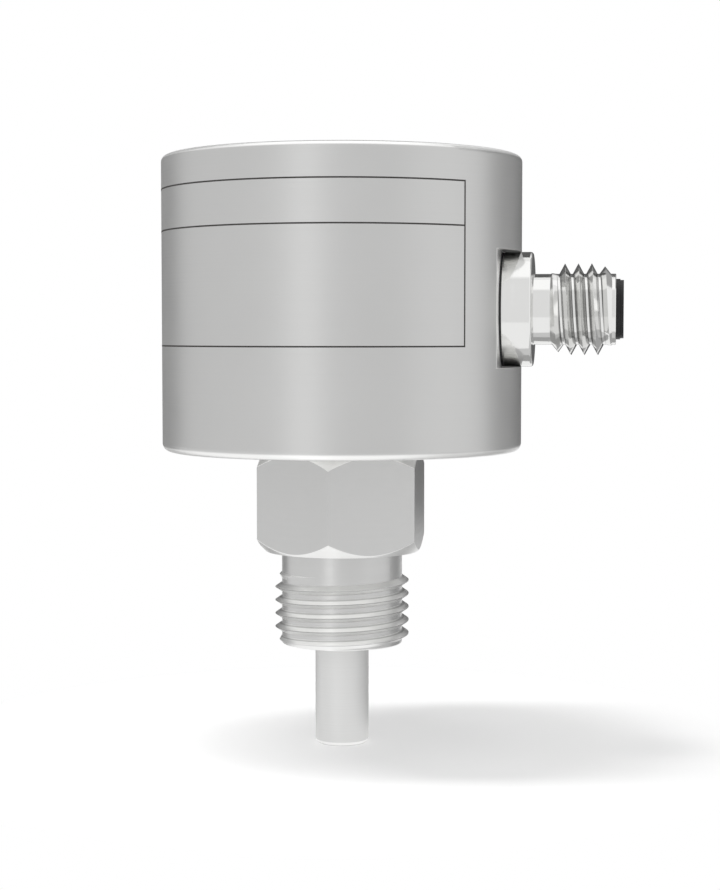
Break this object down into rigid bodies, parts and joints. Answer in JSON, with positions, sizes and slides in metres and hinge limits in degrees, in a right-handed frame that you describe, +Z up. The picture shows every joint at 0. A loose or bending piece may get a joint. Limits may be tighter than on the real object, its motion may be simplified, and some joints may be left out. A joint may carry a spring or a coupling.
{
  "type": "electronic flow switch",
  "caption": "Round steel flow switch with a hexagon screw-in fitting, a slim heated probe below it and a threaded round plug standing out of its side.",
  "frame": {"origin": "on the probe's axis, at the lower face of the hexagon, where the fitting seats", "axes": "+Z up through the housing along the probe's axis, +X out along the plug's axis"},
  "size_m": [0.0614, 0.048, 0.0786],
  "materials": {
    "board_screws": "zinc-plated steel",
    "connector_leads": "insulated wire",
    "connector_nut": "bright nickel-plated brass",
    "connector_pin_carrier": "black moulded plastic",
    "connector_pins": "gold-plated brass",
    "connector_saddle_washer": "zinc-plated steel",
    "connector_seal_ring": "black rubber",
    "connector_shell": "bright nickel-plated brass",
    "cover_seal_ring": "black rubber",
    "cover_slip_washer": "white slip plastic",
    "display_board": "green solder mask",
    "element_holder": "white alumina",
    "fitting_lock_washer": "zinc-plated steel",
    "fitting_locknut": "zinc-plated steel",
    "fitting_seal_ring": "black rubber",
    "heated_element": "white alumina",
    "housing_drum": "satin turned stainless steel",
    "lead_bush": "black rubber",
    "lead_terminals": "tinned brass",
    "lens_gasket": "black rubber",
    "link_pins": "gold-plated brass",
    "link_strip": "black moulded plastic",
    "lower_spacers": "bright nickel-plated brass",
    "microcontroller": "black moulded plastic",
    "power_board": "green solder mask",
    "probe_sleeve": "satin turned stainless steel",
    "process_fitting": "satin turned stainless steel",
    "reference_element": "white alumina",
    "relay_armature": "plated soft iron",
    "relay_base": "black moulded plastic",
    "relay_case": "clear plastic",
    "relay_coil": "copper winding on a bobbin",
    "relay_contacts": "silver-faced brass",
    "relay_frame": "plated soft iron",
    "sensor_leads": "insulated wire",
    "status_led": "tinted clear",
    "status_lens": "clear polycarbonate",
    "supply_capacitor": "sleeved can",
    "surface_mount_parts": "ceramic chips",
    "thermal_paste": "heat-conducting paste",
    "top_cover": "satin turned stainless steel",
    "trimmer_body": "blue moulded plastic",
    "trimmer_rotor": "turned brass",
    "upper_spacers": "bright nickel-plated brass",
    "voltage_regulator": "black moulded plastic"
  },
  "bodies": {
    "housing": {"board_screws": "board_screws", "connector_leads": "connector_leads", "connector_nut": "connector_nut", "connector_pin_carrier": "connector_pin_carrier", "connector_pins": "connector_pins", "connector_saddle_washer": "connector_saddle_washer", "connector_seal_ring": "connector_seal_ring", "connector_shell": "connector_shell", "display_board": "display_board", "element_holder": "element_holder", "fitting_lock_washer": "fitting_lock_washer", "fitting_locknut": "fitting_locknut", "fitting_seal_ring": "fitting_seal_ring", "heated_element": "heated_element", "housing_drum": "housing_drum", "lead_bush": "lead_bush", "lead_terminals": "lead_terminals", "link_pins": "link_pins", "link_strip": "link_strip", "lower_spacers": "lower_spacers", "microcontroller": "microcontroller", "power_board": "power_board", "probe_sleeve": "probe_sleeve", "process_fitting": "process_fitting", "reference_element": "reference_element", "relay_base": "relay_base", "relay_case": "relay_case", "relay_coil": "relay_coil", "relay_contacts": "relay_contacts", "relay_frame": "relay_frame", "sensor_leads": "sensor_leads", "status_led": "status_led", "supply_capacitor": "supply_capacitor", "surface_mount_parts": "surface_mount_parts", "thermal_paste": "thermal_paste", "trimmer_body": "trimmer_body", "upper_spacers": "upper_spacers", "voltage_regulator": "voltage_regulator"},
    "cover_washer": {"cover_slip_washer": "cover_slip_washer"},
    "cover_seal": {"cover_seal_ring": "cover_seal_ring"},
    "cover": {"top_cover": "top_cover", "status_lens": "status_lens", "lens_gasket": "lens_gasket"},
    "armature": {"relay_armature": "relay_armature"},
    "trimmer": {"trimmer_rotor": "trimmer_rotor"}
  },
  "joints": [
    {"name": "cover_lift_off", "type": "slide", "parent": "housing", "child": "cover_washer", "axis": [0, 0, 1], "range_m": [0, 0.026]},
    {"name": "cover_rise", "type": "slide", "parent": "cover_washer", "child": "cover_seal", "axis": [0, 0, 1], "range_m": [0, 0.00563]},
    {"name": "cover_turn", "type": "hinge", "parent": "cover_seal", "child": "cover", "pos_m": [0, 0, 0.0485], "axis": [0, 0, 1], "range_deg": [0, 1350]},
    {"name": "relay_pull", "type": "hinge", "parent": "housing", "child": "armature", "pos_m": [-0.0055, 0.0009, 0.03255], "axis": [1, 0, 0], "range_deg": [0, 4], "stiffness_Nm_per_rad": 0.0003, "springref_deg": -5},
    {"name": "setpoint_turn", "type": "hinge", "parent": "housing", "child": "trimmer", "pos_m": [0, -0.0105, 0.0472], "axis": [0, 0, 1], "range_deg": [-135, 135]}
  ],
  "couplings": [
    {"joint": "cover_rise", "follows": "cover_turn", "m_per_rad": 0.00023873}
  ]
}
